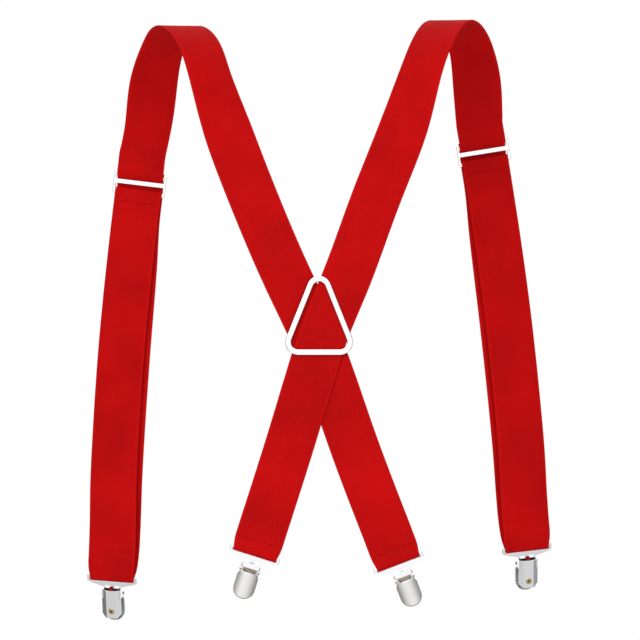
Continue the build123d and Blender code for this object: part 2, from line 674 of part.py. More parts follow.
clip_makers = {
    "strap_plate": make_strap_plate,
    "front_pad": make_front_pad,
    "pad_rivet": make_pad_rivet,
    "rear_jaw": make_rear_jaw,
    "rear_pad": make_rear_pad,
    "eyelet": make_eyelet,
    "lever_pin": make_pin,
    "lever": make_lever,
}


def clip_frames():
    """Each clip's frame, by name. The left strap ends on the right back clip, and the other way round."""
    frames = {}
    for side, other in (("left", "right"), ("right", "left")):
        front, back = front_frame(strap_routes[side]), back_frame(strap_routes[other])
        frames[f"{side}_front_clip"] = Plane(front.location * Rot(front_clip_pitch, 0, 0))
        frames[f"{side}_back_clip"] = Plane(back.location * Rot(back_clip_pitch, 0, 0))
    return frames


def make_clips():
    pieces = {name: make() for name, make in clip_makers.items()}
    for clip, frame in clip_frames().items():
        for name, piece in pieces.items():
            add(f"{clip}_{name}", frame.location * piece)


def main():
    for side in strap_routes:
        for node, solid in webbing_solids(strap_stations(side)).items():
            add(node, solid)
        make_adjuster(side)
    make_keeper()
    make_clips()
    os.makedirs("parts", exist_ok=True)
    for name, shape in parts.items():
        shape.label = name
        export_step(shape, f"parts/{name}.step")


main()
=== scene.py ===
import math

import bpy
import numpy as np
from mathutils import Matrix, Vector


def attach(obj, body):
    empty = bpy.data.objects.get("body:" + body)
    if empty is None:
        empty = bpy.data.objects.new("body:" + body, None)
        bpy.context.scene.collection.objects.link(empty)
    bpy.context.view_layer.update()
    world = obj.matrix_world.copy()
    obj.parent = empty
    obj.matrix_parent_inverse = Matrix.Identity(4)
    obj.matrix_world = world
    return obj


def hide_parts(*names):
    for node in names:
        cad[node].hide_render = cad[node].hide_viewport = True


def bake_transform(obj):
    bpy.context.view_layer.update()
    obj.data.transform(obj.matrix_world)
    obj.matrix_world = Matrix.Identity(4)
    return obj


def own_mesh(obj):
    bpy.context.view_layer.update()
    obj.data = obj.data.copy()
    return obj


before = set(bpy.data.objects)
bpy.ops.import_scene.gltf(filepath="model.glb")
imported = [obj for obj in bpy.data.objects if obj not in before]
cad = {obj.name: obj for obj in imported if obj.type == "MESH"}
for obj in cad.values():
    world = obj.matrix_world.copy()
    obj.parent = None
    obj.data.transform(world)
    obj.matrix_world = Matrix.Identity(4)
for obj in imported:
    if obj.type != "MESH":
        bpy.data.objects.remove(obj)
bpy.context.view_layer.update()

# ---- The two straps ------------------------------------------------------------------------------
# Each is one length of woven elastic, 35 mm wide and 1.3 mm thick, red all through. It starts at a sewn
# fold on a back clip, crosses its twin, goes over the shoulder and weaves through the adjuster, runs
# down and round the front clip's bar and back up, and ends in a fold sewn round the adjuster's bar.
mm = 0.001
strap_width, strap_thickness, layer_gap = 35.0, 1.3, 0.25
arch_depth, arch_height = 55.0, 72.0
crossing_offset = (strap_thickness + 0.3) / 2
front_yaw, crest_yaw = 15.0, -30.0
front_twist_height, back_twist_start, back_twist_end = 80.0, 25.0, 110.0
loop_bulge, outer_layer_bow = 4.6, 0.25
sewn_length, fold_narrowing = 14.0, 2.6
clip_bar_height, clip_bar_sheet, clip_bar_round, clip_bar_gap = 2.4, 0.9, 0.4, 0.2
adjuster_thickness, adjuster_pitch, adjuster_bar = 1.2, 7.2, 3.0
weave_offset = adjuster_thickness / 2 + 0.55 + strap_thickness / 2
sewn_offset = (strap_thickness + layer_gap) / 2
clip_fold_radius = (
    math.hypot(clip_bar_height / 2 - clip_bar_round, clip_bar_sheet / 2 - clip_bar_round)
    + clip_bar_round + clip_bar_gap + strap_thickness / 2
)
end_fold_radius = adjuster_thickness / 2 + 0.15 + strap_thickness / 2
outer_layer_offset = end_fold_radius + strap_thickness + layer_gap
bar_steps = 12              # straight steps in the webbing's half turn round a bar
curve_steps = 150           # stations on the smooth curve from the back clip to the adjuster
least_span = 12.0           # a route point nearer than this to the adjuster is left out
uv_gap = 2.0                # between the webbing's two faces in its UV map

strap_routes = {
    "left": {
        "loop_top": -2.0,
        "loop": (-123.3, -118.4, -110.2, -100.4, -87.4, -77.4, -65.9),
        "back": ((-46.8, -124.6), (-19.7, -187.6), (-3.6, -222.0), (3.0, -238.3), (23.8, -297.4)),
        "back_end": (57.1, -385.6),
        "adjuster": (-129.2, -114.2),
        "front_end": (-149.4, -400.0),
        "outward": -1,
        "layer": +1,
    },
    "right": {
        "loop_top": 2.0,
        "loop": (117.0, 114.2, 107.2, 96.2, 85.3, 74.2, 63.1),
        "back": ((42.1, -124.6), (18.7, -187.6), (4.6, -222.0), (-0.8, -238.3), (-18.7, -297.4)),
        "back_end": (-44.8, -379.6),
        "adjuster": (119.8, -91.3),
        "front_end": (151.4, -378.0),
        "outward": +1,
        "layer": -1,
    },
}


class Place:
    """A frame on a strap: x across it, y up it, z away from the wearer."""

    def __init__(self, origin, across, outward):
        self.origin, self.x, self.z = Vector(origin), across.normalized(), outward.normalized()
        self.y = self.z.cross(self.x)

    def at(self, across, up, out):
        return self.origin + self.x * across + self.y * up + self.z * out

    def turned(self, angle, up):
        """The same frame moved up the strap and turned about its outward axis."""
        across = self.x * math.cos(angle) + self.y * math.sin(angle)
        return Place(self.at(0, up, 0), across, self.z)


def front_place(route):
    (x_end, z_end), (x_top, z_top) = route["front_end"], route["adjuster"]
    up = Vector((x_top - x_end, 0, z_top - z_end)).normalized()
    yaw = math.radians(front_yaw)
    outward = Vector((-route["outward"] * math.sin(yaw), math.cos(yaw), 0))
    outward = (outward - up * outward.dot(up)).normalized()
    return Place((x_end, arch_depth, z_end), up.cross(outward), outward)


def front_length(route):
    (x_end, z_end), (x_top, z_top) = route["front_end"], route["adjuster"]
    return math.hypot(x_top - x_end, z_top - z_end)


def adjuster_place(route):
    length = front_length(route)
    turn = math.atan2(loop_bulge * math.pi, length) * -route["outward"]
    return front_place(route).turned(turn, length)


def back_place(route):
    (x_end, z_end), (x_near, z_near) = route["back_end"], route["back"][-1]
    up = Vector((x_near - x_end, 0, z_near - z_end)).normalized()
    outward = Vector((0, -1, 0))
    y_plane = -arch_depth + route["layer"] * crossing_offset
    return Place((x_end, y_plane + sewn_offset, z_end), up.cross(outward), outward)


def eased(share):
    """0 to 1, starting and ending gently."""
    share = min(1.0, max(0.0, share))
    return share * share * (3 - 2 * share)


def fold_width(height):
    """Width of the webbing near a clip: squeezed where it enters the slot, full above it."""
    share = min(1.0, max(0.0, (height - 1.0) / 8.0))
    return strap_width - fold_narrowing * (1 - share) ** 2


def round_bar(radius, start, stop, steps, rise=0.0):
    """(height, offset) points of the webbing bent round a bar."""
    angles = [math.radians(start + (stop - start) * i / steps) for i in range(steps + 1)]
    return [(rise + radius * math.sin(a), radius * math.cos(a)) for a in angles]


def smooth_curve(points, count):
    """A natural cubic spline through the points, as count + 1 points evenly spread in its own parameter."""
    p = np.array([tuple(q) for q in points])
    t = np.concatenate(([0.0], np.cumsum(np.linalg.norm(np.diff(p, axis=0), axis=1))))
    h = np.diff(t)
    n = len(p)
    a = np.zeros((n, n))
    b = np.zeros((n, 3))
    a[0, 0] = a[-1, -1] = 1
    for i in range(1, n - 1):
        a[i, i - 1:i + 2] = h[i - 1], 2 * (h[i - 1] + h[i]), h[i]
        b[i] = 6 * ((p[i + 1] - p[i]) / h[i] - (p[i] - p[i - 1]) / h[i - 1])
    m = np.linalg.solve(a, b)
    out = []
    for s in np.linspace(0, t[-1], count + 1):
        i = min(int(np.searchsorted(t, s, side="right")) - 1, n - 2)
        l, r = t[i + 1] - s, s - t[i]
        q = (m[i] * l ** 3 + m[i + 1] * r ** 3) / (6 * h[i])
        q = q + (p[i] / h[i] - m[i] * h[i] / 6) * l + (p[i + 1] / h[i] - m[i + 1] * h[i] / 6) * r
        out.append(Vector(q))
    return out


def strap_stations(side):
    """The whole strap as (centre, across, width, run), from the back clip to its end at the adjuster."""
    route = strap_routes[side]
    back, front, adjuster = back_place(route), front_place(route), adjuster_place(route)
    length = front_length(route)
    stations = []

    def lay(place, points, run, width=None, bow=None):
        for height, offset in points:
            sideways = bow(height) if bow else 0.0
            across = width(height) if width else strap_width
            stations.append((place.at(sideways, height, offset), place.x.copy(), across, run))

    # The back clip's fold: down behind, round the bar, and up the face of the strap, easing off the bar.
    easing = [(3.5, clip_fold_radius - 0.25), (6, sewn_offset + 0.4), (9, sewn_offset + 0.1)]
    easing += [(12, sewn_offset + 0.02), (sewn_length + 2, sewn_offset)]
    lay(back, [(height, -offset) for height, offset in reversed(easing)], "back", fold_width)
    lay(back, round_bar(clip_fold_radius, 180, 360, bar_steps), "back", fold_width)
    lay(back, easing + [(sewn_length + 10, sewn_offset)], "back", fold_width)

    # Up the back and over the shoulder: a smooth curve through the route's points and then the arch's,
    # which are 30 degrees apart.
    y_back = -arch_depth + route["layer"] * crossing_offset
    centre_z = route["loop_top"] - arch_height
    points = [stations[-1][0]] + [Vector((x, y_back, z)) for x, z in reversed(route["back"])]
    for step, x in enumerate(reversed(route["loop"])):
        turn = math.radians(90 - 30 * step)
        depth = -y_back if turn > 0 else arch_depth
        points.append(Vector((x, -depth * math.sin(turn), centre_z + arch_height * math.cos(turn))))
    approach = adjuster.at(0, adjuster_pitch + 14, -weave_offset)
    if (points[-1] - approach).length < least_span:
        points.pop()
    curve = smooth_curve(points + [approach], curve_steps)
    top = max(curve, key=lambda q: q.z)
    for q in curve[1:-1]:
        hangs = q.y > 0
        if not hangs and q.z < centre_z:
            q = Vector((q.x, y_back, q.z))
        below = route["loop_top"] - q.z
        if hangs:
            yaw = crest_yaw + (front_yaw - crest_yaw) * eased(below / front_twist_height)
        else:
            yaw = crest_yaw * (1 - eased((below - back_twist_start) / (back_twist_end - back_twist_start)))
        yaw = math.radians(yaw)
        across = Vector((-math.cos(yaw), -route["outward"] * math.sin(yaw), 0))
        stations.append((q, across, strap_width, "back" if q.y <= top.y else "front"))

    # Through the adjuster: behind its top bar, out between the bars, and down over the two lower ones.
    lay(adjuster, [(adjuster_pitch + 14, -weave_offset), (adjuster_pitch + 5, -weave_offset)], "front")
    lay(adjuster, [(adjuster_pitch, -weave_offset), (adjuster_pitch - 1.5, -weave_offset * 0.8)], "front")
    lay(adjuster, [(adjuster_pitch / 2, 0), (1.5, weave_offset * 0.8), (0, weave_offset)], "front")
    bottom = -adjuster_pitch - sewn_length - 1
    lay(adjuster, [(-3.0, outer_layer_offset - 0.4), (-adjuster_pitch, outer_layer_offset)], "front")
    lay(adjuster, [(bottom + 4, outer_layer_offset), (bottom, outer_layer_offset)], "front")

    def bow(height):
        """How far the loop bows outwards at a height over the front clip's bar."""
        sideways = loop_bulge * math.sin(math.pi * height / length) * eased((height - 12) / 50)
        return sideways * route["outward"] * (1 if front.x.x > 0 else -1)

    # Down to the front clip, round its bar, back up, and round the adjuster's lowest bar to the sewn end.
    outer = [(length - 60, 2.5), (160, 2.1), (110, 2.3), (70, 3.6), (36, 6.0), (20, 6.2)]
    lay(front, outer, "outer", bow=lambda height: outer_layer_bow * bow(height))
    lay(front, [(10, 4.6), (6, 3.4), (3, 2.6)], "clip", fold_width, bow)
    lay(front, round_bar(clip_fold_radius, 0, -180, bar_steps), "clip", fold_width, bow)
    lay(front, [(3, -2.5), (6, -3.1), (10, -3.9), (20, -4.6)], "clip", fold_width, bow)
    lay(front, [(36, -4.2), (70, -2.7), (110, -1.9), (160, -1.7), (length - 60, -1.6)], "inner", bow=bow)
    lay(adjuster, [(bottom, -end_fold_radius)], "inner")
    turn_centre = -adjuster_pitch + adjuster_bar / 2 - adjuster_thickness / 2
    for height in (-adjuster_pitch - 6, -adjuster_pitch - 2):
        lay(adjuster, [(height, -end_fold_radius)], "sewn")
    lay(adjuster, round_bar(end_fold_radius, 180, 0, bar_steps, turn_centre), "sewn")
    for height in (-adjuster_pitch - 2, -adjuster_pitch - 6, -adjuster_pitch - sewn_length):
        lay(adjuster, [(height, end_fold_radius)], "sewn")
    return stations


def laid_smoothly(stations, spacing=2.2):
    """More stations between the given ones on a smooth path, each with its distance along the webbing."""
    p = np.array([tuple(s[0]) for s in stations])
    # The same side of the webbing faces out all along, so its width keeps one sense.
    across = [stations[0][1]]
    for s in stations[1:]:
        across.append(s[1] if s[1].dot(across[-1]) > 0 else -s[1])
    x = np.array([tuple(a) for a in across])
    w = np.array([s[2] for s in stations])
    h = np.linalg.norm(np.diff(p, axis=0), axis=1)
    slope = np.diff(p, axis=0) / h[:, None]
    tangent = np.empty_like(p)
    tangent[0], tangent[-1] = slope[0], slope[-1]
    for i in range(1, len(p) - 1):
        tangent[i] = (slope[i - 1] * h[i] + slope[i] * h[i - 1]) / (h[i - 1] + h[i])
    path, along = [], 0.0
    for i in range(len(p) - 1):
        n = max(1, int(math.ceil(h[i] / spacing)))
        for k in range(n + (i == len(p) - 2)):
            t = k / n
            a, b, c, d = 2 * t**3 - 3 * t**2 + 1, t**3 - 2 * t**2 + t, -2 * t**3 + 3 * t**2, t**3 - t**2
            centre = a * p[i] + b * h[i] * tangent[i] + c * p[i + 1] + d * h[i] * tangent[i + 1]
            side = x[i] * (1 - t) + x[i + 1] * t
            width = w[i] * (1 - t) + w[i + 1] * t
            path.append([centre, side / np.linalg.norm(side), width, stations[i + 1][3]])
    for i, q in enumerate(path):
        if i:
            along += float(np.linalg.norm(q[0] - path[i - 1][0]))
        q.append(along)
    return path


def webbing_mesh(name, path, thickness, trim):
    """A closed, woven-edged band along a path. UV is in millimetres: across, then along."""
    verts, faces, uvs = [], [], []
    flat = 9                # divisions across a face
    edge = 4                # divisions round a woven edge
    around = 2 * (flat + edge)
    edge_turn = [math.pi * k / edge for k in range(1, edge)]
    depth = 0.8             # of the rounded edge, as a share of half the thickness

    def across_mm(k):
        """The UV's first value at a corner of the section: the second face follows the first after a gap."""
        if k < flat + edge:
            return strap_width * min(k, flat) / flat
        return strap_width + uv_gap + strap_width * min(k - flat - edge, flat) / flat

    n = len(path)
    for i, (c, x, w, _, v) in enumerate(path):
        ahead = path[min(i + 1, n - 1)][0] - path[i][0]
        behind = path[i][0] - path[max(i - 1, 0)][0]
        along = sum(d / np.linalg.norm(d) for d in (ahead, behind) if np.linalg.norm(d) > 0)
        along = along / np.linalg.norm(along)
        normal = np.cross(along, x)
        normal = normal / np.linalg.norm(normal)
        side = np.cross(normal, along)
        half, r = (w - trim) / 2, thickness / 2
        inner = half - r * depth
        ring = [(inner - 2 * inner * k / flat, r) for k in range(flat + 1)]
        ring += [(-inner - r * depth * math.sin(a), r * math.cos(a)) for a in edge_turn]
        ring += [(-inner + 2 * inner * k / flat, -r) for k in range(flat + 1)]
        ring += [(inner + r * depth * math.sin(a), -r * math.cos(a)) for a in edge_turn]
        for s, t in ring:
            verts.append((c + side * s + normal * t) * mm)
    for i in range(n - 1):
        for k in range(around):
            j = (k + 1) % around
            a, b = i * around + k, i * around + j
            faces.append((a, b, b + around, a + around))
            u0, u1 = across_mm(k), across_mm(k + 1)
            v0, v1 = path[i][4], path[i + 1][4]
            uvs += [(u0, v0), (u1, v0), (u1, v1), (u0, v1)]
    for base, order in ((0, -1), ((n - 1) * around, 1)):
        ring = [base + k for k in range(around)][::order]
        faces.append(ring)
        uvs += [(strap_width / 2, path[0][4] if order < 0 else path[-1][4])] * around
    mesh = bpy.data.meshes.new(name)
    mesh.from_pydata([tuple(v) for v in verts], [], faces)
    layer = mesh.uv_layers.new(name="webbing_mm")
    layer.data.foreach_set("uv", np.array(uvs, np.float32).ravel())
    mesh.validate()
    mesh.update()
    # Faces point outwards: a closed band holds a positive volume.
    volume = 0.0
    for f in mesh.polygons[:around]:
        volume += f.normal.dot(f.center - Vector(path[0][0] * mm))
    if volume < 0:
        mesh.flip_normals()
    mesh.shade_smooth()
    mesh.set_sharp_from_angle(angle=math.radians(60))
    piece = bpy.data.objects.new(name, mesh)
    bpy.context.scene.collection.objects.link(piece)
    return piece


def colour(code):
    """A colour from its sRGB hex code, turned to linear light."""
    parts = [int(code[i:i + 2], 16) / 255 for i in (1, 3, 5)]
    return tuple(c / 12.92 if c <= 0.04045 else ((c + 0.055) / 1.055) ** 2.4 for c in parts) + (1.0,)


def new_material(name):
    """An empty material, its node tree, and a Texture Coordinate node in it."""
    material = bpy.data.materials.new(name)
    material.use_nodes = True
    material.node_tree.nodes.clear()
    return material, material.node_tree, node(material.node_tree, "ShaderNodeTexCoord")


def node(tree, kind, links=None, **settings):
    """Adds one node to a tree: attributes by name, sockets as in_Name, and links as {socket: output}."""
    made = tree.nodes.new(kind)
    for key, value in settings.items():
        if key.startswith("in_"):
            key = key[3:]
            made.inputs[int(key) if key.isdigit() else key.replace("_", " ")].default_value = value
        else:
            setattr(made, key, value)
    for key, output in (links or {}).items():
        tree.links.new(output, made.inputs[key])
    return made


# Woven elastic: polyester yarn over rubber cores. Satin, with a fine slanting twill darkened in its grooves
# with painted shade, a firm edge on each side with a painted highlight along it, and a slight unevenness in
# the dye. Lengths are in millimetres of the webbing's own UV map.
twill_spacing, pick_spacing, warp_spacing = 1.35, 0.75, 0.9     # wider than real yarns, so that they show
highlight_band_inside, highlight_band_outside = 1.5, 0.5


def elastic_webbing(name, face="#C80809", groove_shade_and_dark_dye="#A00406", edge_highlight_tone="#BE090A"):
    material, tree, place = new_material(name)
    uv = node(tree, "ShaderNodeUVMap", uv_map="webbing_mm")
    split = node(tree, "ShaderNodeSeparateXYZ", {0: uv.outputs[0]})
    along = split.outputs["Y"]
    u = node(tree, "ShaderNodeMath", {0: split.outputs["X"]}, operation="MODULO", in_1=strap_width + uv_gap)
    slant = node(tree, "ShaderNodeMath", {0: along}, operation="MULTIPLY", in_1=0.8)
    diagonal = node(tree, "ShaderNodeMath", {0: u.outputs[0], 1: slant.outputs[0]}, operation="ADD")
    phase = node(tree, "ShaderNodeMath", {0: diagonal.outputs[0]}, operation="MULTIPLY",
                 in_1=2 * math.pi / twill_spacing)
    twill = node(tree, "ShaderNodeMath", {0: phase.outputs[0]}, operation="SINE")
    picks = node(tree, "ShaderNodeMath", {0: along}, operation="MULTIPLY", in_1=2 * math.pi / pick_spacing)
    rib = node(tree, "ShaderNodeMath", {0: picks.outputs[0]}, operation="SINE")
    ends = node(tree, "ShaderNodeMath", {0: u.outputs[0]}, operation="MULTIPLY",
                in_1=2 * math.pi / warp_spacing)
    warp = node(tree, "ShaderNodeMath", {0: ends.outputs[0]}, operation="SINE")
    grid = node(tree, "ShaderNodeMath", {0: rib.outputs[0], 1: warp.outputs[0]}, operation="MULTIPLY")
    weave = node(tree, "ShaderNodeMath", {0: twill.outputs[0], 2: grid.outputs[0]},
                 operation="MULTIPLY_ADD", in_1=0.7)
    height = node(tree, "ShaderNodeMapRange", {0: weave.outputs[0]}, in_1=-1.4, in_2=1.4)
    # Unevenness in the dye, about 40 mm across, and the fuzz of the yarn.
    spot = place.outputs["Object"]
    cloud = node(tree, "ShaderNodeTexNoise", {"Vector": spot}, in_Scale=26.0, in_Detail=3.0)
    fuzz = node(tree, "ShaderNodeTexNoise", {"Vector": spot}, in_Scale=900.0, in_Detail=2.0)
    fine = node(tree, "ShaderNodeMath", {0: height.outputs[0], 1: fuzz.outputs[0]}, operation="MULTIPLY")
    tone = node(tree, "ShaderNodeMath", {0: fine.outputs[0], 1: cloud.outputs[0]}, operation="ADD")
    mixed = node(tree, "ShaderNodeMapRange", {0: tone.outputs[0]}, in_1=0.35, in_2=1.1)
    # The red darkens towards the weave's low parts, which is painted shade in its grooves, and with the dye's
    # unevenness.
    yarn = node(tree, "ShaderNodeMix", {"Factor": mixed.outputs[0]}, data_type="RGBA")
    yarn.inputs[6].default_value, yarn.inputs[7].default_value = colour(groove_shade_and_dark_dye), colour(face)
    # A painted highlight along the webbing's edges, set by the distance from the nearer edge.
    far = node(tree, "ShaderNodeMath", {1: u.outputs[0]}, operation="SUBTRACT", in_0=strap_width)
    near = node(tree, "ShaderNodeMath", {0: far.outputs[0], 1: u.outputs[0]}, operation="MINIMUM")
    edge_highlight_band = node(tree, "ShaderNodeMapRange", {0: near.outputs[0]}, in_1=highlight_band_inside, in_2=highlight_band_outside)
    cloth = node(tree, "ShaderNodeMix", {"Factor": edge_highlight_band.outputs[0], 6: yarn.outputs[2]}, data_type="RGBA")
    cloth.inputs[7].default_value = colour(edge_highlight_tone)
    bump = node(tree, "ShaderNodeBump", {"Height": height.outputs[0]}, in_Strength=0.35, in_Distance=0.00012)
    rough = node(tree, "ShaderNodeMapRange", {0: height.outputs[0]}, in_3=0.82, in_4=0.68)
    shader = node(tree, "ShaderNodeBsdfPrincipled", {
        "Base Color": cloth.outputs[2], "Normal": bump.outputs[0], "Roughness": rough.outputs[0],
    })
    shader.inputs["Specular IOR Level"].default_value = 0.06
    shader.inputs["Sheen Weight"].default_value = 0.03
    shader.inputs["Sheen Roughness"].default_value = 0.5
    shader.inputs["Sheen Tint"].default_value = colour("#E01010")
    node(tree, "ShaderNodeOutputMaterial", {"Surface": shader.outputs[0]})
    return material


red_elastic = elastic_webbing("red_woven_elastic")


def loop_halves(run, front):
    """A loop layer cut in two at mid height, and the tongue nested across the cut, which fills the gap
    that opens there when the adjuster goes up."""
    def height_of(station):
        return (Vector(station[0]) - front.origin).dot(front.y)

    run = sorted(run, key=height_of)
    middle = len(run) // 2
    cut = height_of(run[middle])
    tongue = [q for q in run if cut - tongue_below <= height_of(q) <= cut + tongue_above]
    return run[:middle + 1], run[middle:], tongue


tongue_below, tongue_above = 40.0, 10.0     # reach of a tongue on each side of the cut
tongue_thickness = tongue_trim = 0.8        # it is thinner and narrower than the layer, to hide in it
adjuster_end = 22.2                         # from the adjuster's middle bar down to the loop's layers
clip_end = 20.0                             # from the front clip's bar up to them
hanging_end = 13.0                          # above the middle bar
for side in ("left", "right"):
    route = strap_routes[side]
    path = laid_smoothly(strap_stations(side))
    cuts = [0] + [i for i in range(1, len(path)) if path[i][3] != path[i - 1][3]] + [len(path) - 1]
    runs = {path[a][3]: path[a:b + 1] for a, b in zip(cuts, cuts[1:])}
    front, adjuster = front_place(route), adjuster_place(route)
    length = front_length(route)
    high, low = front.at(0, length - adjuster_end, 0), front.at(0, clip_end, 0)

    def webbing(name, path, replaced, thickness=strap_thickness, trim=0.0):
        """A length of the webbing in its material, hiding the CAD nodes that it stands for."""
        piece = webbing_mesh(f"{side}_{name}_webbing", path, thickness, trim)
        piece.data.materials.append(red_elastic)
        if replaced:
            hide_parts(*[f"{side}_{cad_name}" for cad_name in replaced])
        return piece

    back_nodes = ("back_end_fold", "back_strap", "shoulder_strap")
    back = webbing("strap", runs["back"], back_nodes)
    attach(back, "straps")
    hanging = webbing("hanging", runs["front"], ("front_strap",))
    start, end = Vector(runs["front"][0][0]) * mm, adjuster.at(0, hanging_end, 0) * mm
    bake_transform(hanging)
    sewn = webbing("sewn_end", runs["sewn"], ("adjuster_end_fold",))
    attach(sewn, f"{side}_adjuster")
    fold = webbing("clip_fold", runs["clip"], ("clip_fold",))
    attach(fold, f"{side}_loop_end")
    # Each layer of the loop is cut in two, with a tongue across the cut: the upper half and the tongue are
    # held on the adjuster, and the lower half on the front clip's loop end.
    for layer in ("outer", "inner"):
        below, above, across_cut = loop_halves(runs[layer], front)
        upper = webbing(f"loop_{layer}_upper", above, (f"loop_{layer}",))
        lower = webbing(f"loop_{layer}_lower", below, ())
        tongue = webbing(f"loop_{layer}_tongue", across_cut, (),
                         tongue_thickness, tongue_trim)
        for piece, body, anchor in (
            (upper, f"{side}_adjuster", high),
            (tongue, f"{side}_adjuster", high),
            (lower, f"{side}_loop_end", low),
        ):
            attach(piece, body)
            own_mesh(piece)

# ---- Stitching -------------------------------------------------------------------------------------
# Each folded end is lockstitched across the strap in one row of deep red polyester thread, with stitches
# about 2.3 mm long pulled into the webbing.
thread_thickness, stitch_length, stitch_pitch = 0.46, 2.3, 2.6
back_row, adjuster_row = 8.4, -14.2     # heights of the rows from the clip's bar and the middle bar
row_inset = 2.6                         # from each edge of the webbing


def stitch_row_tree():
    tree = bpy.data.node_groups.new("stitch_row", "GeometryNodeTree")
    face = tree.interface
    face.new_socket("Geometry", in_out="INPUT", socket_type="NodeSocketGeometry")
    names = {}
    for name, kind, value in (
        ("Row start", "NodeSocketVector", (0, 0, 0)),
        ("Row end", "NodeSocketVector", (0, 0, 0)),
        ("Stitches", "NodeSocketInt", 10),
        ("Stitch length", "NodeSocketFloat", stitch_length * mm),
        ("Thread thickness", "NodeSocketFloat", thread_thickness * mm),
        ("Thread", "NodeSocketMaterial", None),
    ):
        socket = face.new_socket(name, in_out="INPUT", socket_type=kind)
        if value is not None:
            socket.default_value = value
        names[name] = socket.identifier
    face.new_socket("Geometry", in_out="OUTPUT", socket_type="NodeSocketGeometry")
    given = node(tree, "NodeGroupInput").outputs
    line = node(tree, "GeometryNodeCurvePrimitiveLine",
                {"Start": given["Row start"], "End": given["Row end"]})
    spots = node(tree, "GeometryNodeResampleCurve", {"Curve": line.outputs[0], "Count": given["Stitches"]})
    tangent = node(tree, "GeometryNodeInputTangent")
    turn = node(tree, "FunctionNodeAlignEulerToVector", {"Vector": tangent.outputs[0]}, axis="X")
    bead = node(tree, "GeometryNodeMeshUVSphere", in_Segments=8, in_Rings=5, in_Radius=0.5)
    size = node(tree, "ShaderNodeCombineXYZ",
                {0: given["Stitch length"], 1: given["Thread thickness"], 2: given["Thread thickness"]})
    stitch = node(tree, "GeometryNodeTransform", {"Geometry": bead.outputs[0], "Scale": size.outputs[0]})
    row = node(tree, "GeometryNodeInstanceOnPoints",
               {"Points": spots.outputs[0], "Instance": stitch.outputs[0], "Rotation": turn.outputs[0]})
    real = node(tree, "GeometryNodeRealizeInstances", {0: row.outputs[0]})
    smooth = node(tree, "GeometryNodeSetShadeSmooth", {0: real.outputs[0]})
    done = node(tree, "GeometryNodeSetMaterial", {"Geometry": smooth.outputs[0], "Material": given["Thread"]})
    node(tree, "NodeGroupOutput", {0: done.outputs[0]})
    return tree, names


# Spun polyester thread: matt, a deeper red than the webbing, with the twist of its plies in its bump; the
# grooves of the twist are darkened with painted shade.
def sewing_thread(name, tone="#7A0305"):
    material, tree, place = new_material(name)
    spot = place.outputs["Object"]
    twist_relief_and_shade = node(tree, "ShaderNodeTexWave", {"Vector": spot}, in_Scale=900.0, in_Distortion=1.0)
    # Darker in the grooves of the twist: painted shade.
    tint = node(tree, "ShaderNodeMix", {"Factor": twist_relief_and_shade.outputs["Fac"]}, data_type="RGBA")
    tint.inputs[6].default_value, tint.inputs[7].default_value = colour(tone), colour("#980709")
    bump = node(tree, "ShaderNodeBump", {"Height": twist_relief_and_shade.outputs["Fac"]},
                in_Strength=0.3, in_Distance=0.00008)
    shader = node(tree, "ShaderNodeBsdfPrincipled",
                  {"Base Color": tint.outputs[2], "Normal": bump.outputs[0]}, in_Roughness=0.8)
    shader.inputs["Specular IOR Level"].default_value = 0.06
    node(tree, "ShaderNodeOutputMaterial", {"Surface": shader.outputs[0]})
    return material


red_thread = sewing_thread("red_sewing_thread")
stitch_tree, stitch_inputs = stitch_row_tree()


def stitched_rows(name, rows, body):
    """Sews the rows, each a start and an end in millimetres, and joins them into one mesh on a body."""
    made = []
    for start, end in rows:
        mesh = bpy.data.meshes.new("row")
        holder = bpy.data.objects.new("row", mesh)
        bpy.context.scene.collection.objects.link(holder)
        sew = holder.modifiers.new("stitches", "NODES")
        sew.node_group = stitch_tree
        sew[stitch_inputs["Row start"]] = tuple(start * mm)
        sew[stitch_inputs["Row end"]] = tuple(end * mm)
        sew[stitch_inputs["Stitches"]] = int((end - start).length / stitch_pitch) + 1
        sew[stitch_inputs["Stitch length"]] = stitch_length * mm
        sew[stitch_inputs["Thread thickness"]] = thread_thickness * mm
        sew[stitch_inputs["Thread"]] = red_thread
        evaluated = holder.evaluated_get(bpy.context.evaluated_depsgraph_get())
        made.append(bpy.data.meshes.new_from_object(evaluated))
        bpy.data.objects.remove(holder)
    verts, faces = [], []
    for mesh in made:
        base = len(verts)
        verts += [tuple(v.co) for v in mesh.vertices]
        faces += [[base + i for i in f.vertices] for f in mesh.polygons]
    whole = bpy.data.meshes.new(name)
    whole.from_pydata(verts, [], faces)
    whole.update()
    whole.shade_smooth()
    whole.materials.append(red_thread)
    piece = bpy.data.objects.new(name, whole)
    bpy.context.scene.collection.objects.link(piece)
    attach(piece, body)


for side in ("left", "right"):
    route = strap_routes[side]
    back, adjuster = back_place(route), adjuster_place(route)
    reach = strap_width / 2 - row_inset
    face = sewn_offset + strap_thickness / 2 + 0.12
    rows = [(back.at(-reach, back_row, o), back.at(reach, back_row, o)) for o in (face, -face)]
    stitched_rows(f"{side}_back_fold_stitches", rows, "straps")
    outer_face = outer_layer_offset + strap_thickness / 2 + 0.02
    inner_face = -end_fold_radius - strap_thickness / 2 - 0.02
    rows = [(adjuster.at(-reach, adjuster_row, o), adjuster.at(reach, adjuster_row, o))
            for o in (inner_face, outer_face)]
    stitched_rows(f"{side}_adjuster_fold_stitches", rows, f"{side}_adjuster")

